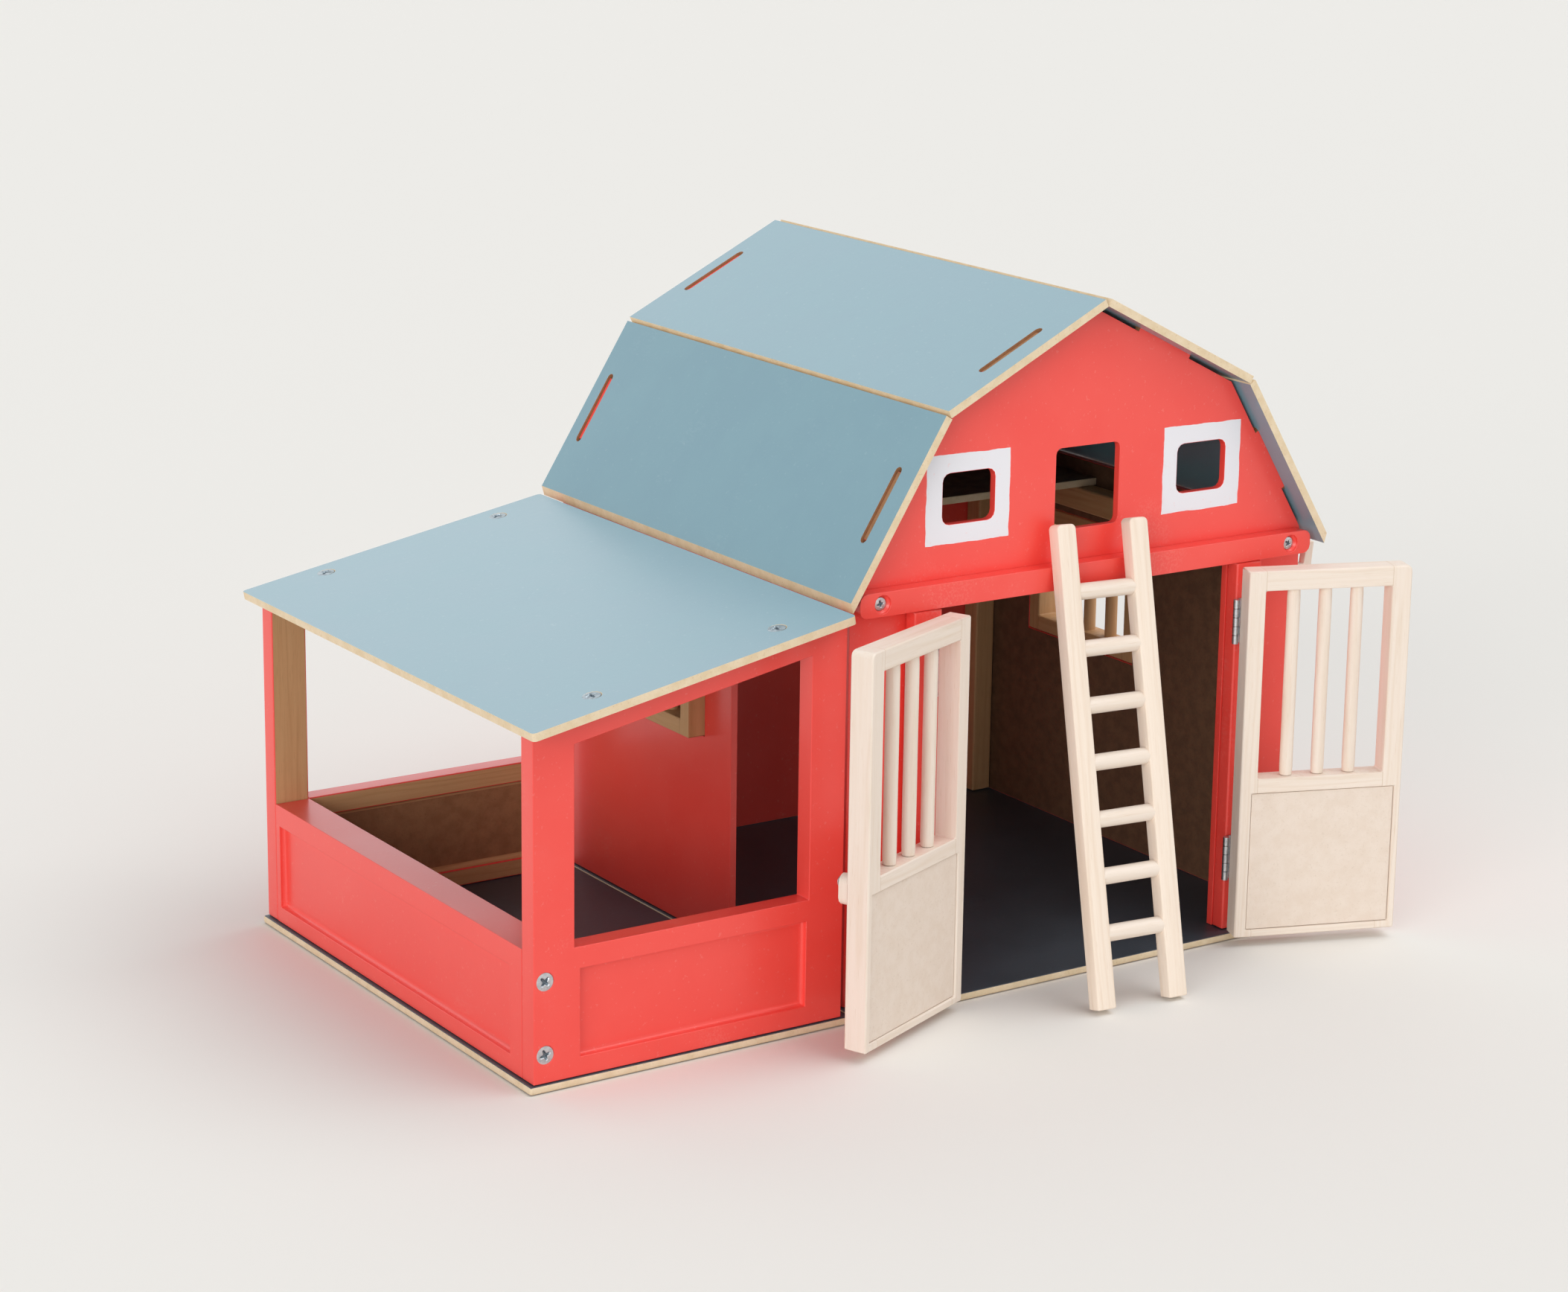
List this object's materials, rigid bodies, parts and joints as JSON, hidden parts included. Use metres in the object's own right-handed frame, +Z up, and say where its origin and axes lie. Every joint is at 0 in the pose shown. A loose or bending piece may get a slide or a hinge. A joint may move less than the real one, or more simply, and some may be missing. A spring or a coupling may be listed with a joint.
{
  "type": "toy barn",
  "caption": "Wooden toy barn with a gambrel roof, swinging front doors, a leaning ladder, a loft and an open lean-to stall.",
  "frame": {"origin": "centre of the bounding box on the ground that the toy stands on", "axes": "+X along the front towards the main barn's right side, +Y from the front to the rear, +Z up"},
  "size_m": [0.4746, 0.3356, 0.3272],
  "materials": {
    "barn_red": "satin red paint on board",
    "roof_blue": "blue-grey paint on board, bare edges",
    "floor_navy": "dark navy paint on board, bare edges",
    "brown_board": "bare brown hardboard",
    "pale_wood": "bare pale sanded wood",
    "panel_board": "bare fibreboard",
    "post_wood": "bare wood",
    "zinc_steel": "zinc-plated steel"
  },
  "bodies": {
    "barn": {"beam_screw_1": "zinc_steel", "beam_screw_2": "zinc_steel", "front_beam": "barn_red", "front_eave_bracket": "pale_wood", "front_wall": "barn_red", "left_door_lower_jamb_leaf": "zinc_steel", "left_door_upper_jamb_leaf": "zinc_steel", "left_front_post": "post_wood", "left_jamb": "barn_red", "left_loft_rail": "post_wood", "left_rear_post": "post_wood", "left_wall": "barn_red", "left_window": "pale_wood", "loft_floor": "brown_board", "main_floor": "floor_navy", "rear_eave_bracket": "pale_wood", "rear_wall": "barn_red", "right_door_lower_jamb_leaf": "zinc_steel", "right_door_upper_jamb_leaf": "zinc_steel", "right_front_post": "post_wood", "right_jamb": "barn_red", "right_loft_rail": "post_wood", "right_rear_post": "post_wood", "right_wall": "barn_red", "right_window": "pale_wood", "roof_screw_1": "zinc_steel", "roof_screw_2": "zinc_steel", "roof_screw_3": "zinc_steel", "roof_screw_4": "zinc_steel", "stall_floor": "floor_navy", "stall_front_frame": "barn_red", "stall_front_panel": "barn_red", "stall_rear_frame": "barn_red", "stall_rear_panel": "barn_red", "stall_roof": "roof_blue", "stall_side_frame": "barn_red", "stall_side_panel": "barn_red", "wall_screw_1": "zinc_steel", "wall_screw_2": "zinc_steel"},
    "left_door": {"latch_screw": "zinc_steel", "left_door_bar_1": "pale_wood", "left_door_bar_2": "pale_wood", "left_door_bar_3": "pale_wood", "left_door_frame": "pale_wood", "left_door_lower_door_leaf": "zinc_steel", "left_door_panel": "panel_board", "left_door_upper_door_leaf": "zinc_steel"},
    "right_door": {"right_door_bar_1": "pale_wood", "right_door_bar_2": "pale_wood", "right_door_bar_3": "pale_wood", "right_door_frame": "pale_wood", "right_door_lower_door_leaf": "zinc_steel", "right_door_panel": "panel_board", "right_door_upper_door_leaf": "zinc_steel"},
    "latch": {"door_latch": "pale_wood"},
    "ladder": {"ladder": "pale_wood"},
    "left_upper_roof": {"left_upper_roof": "roof_blue"},
    "left_lower_roof": {"left_lower_roof": "roof_blue"},
    "right_upper_roof": {"right_upper_roof": "roof_blue"},
    "right_lower_roof": {"right_lower_roof": "roof_blue"}
  },
  "joints": [
    {"name": "left_door_hinge", "type": "hinge", "parent": "barn", "child": "left_door", "pos_m": [-0.0144, -0.11101, 0.1], "axis": [0, 0, -1], "range_deg": [-98.4, 13.6]},
    {"name": "right_door_hinge", "type": "hinge", "parent": "barn", "child": "right_door", "pos_m": [0.158, -0.11101, 0.1], "axis": [0, 0, 1], "range_deg": [-111, 20]},
    {"name": "latch_turn", "type": "hinge", "parent": "left_door", "child": "latch", "pos_m": [-0.08722, -0.1449, 0.082], "axis": [-0.4003, 0.9164, 0], "range_deg": [-90, 90]},
    {"name": "ladder_lift_away", "type": "slide", "parent": "barn", "child": "ladder", "axis": [-0.0509, -0.9714, 0.2317], "range_m": [0, 0.15]},
    {"name": "left_upper_roof_lift_off", "type": "slide", "parent": "barn", "child": "left_upper_roof", "axis": [-0.4493, 0, 0.8934], "range_m": [0, 0.06]},
    {"name": "left_lower_roof_lift_off", "type": "slide", "parent": "barn", "child": "left_lower_roof", "axis": [-0.8494, 0, 0.5277], "range_m": [0, 0.06]},
    {"name": "right_upper_roof_lift_off", "type": "slide", "parent": "barn", "child": "right_upper_roof", "axis": [0.4493, 0, 0.8934], "range_m": [0, 0.06]},
    {"name": "right_lower_roof_lift_off", "type": "slide", "parent": "barn", "child": "right_lower_roof", "axis": [0.8494, 0, 0.5277], "range_m": [0, 0.06]}
  ]
}
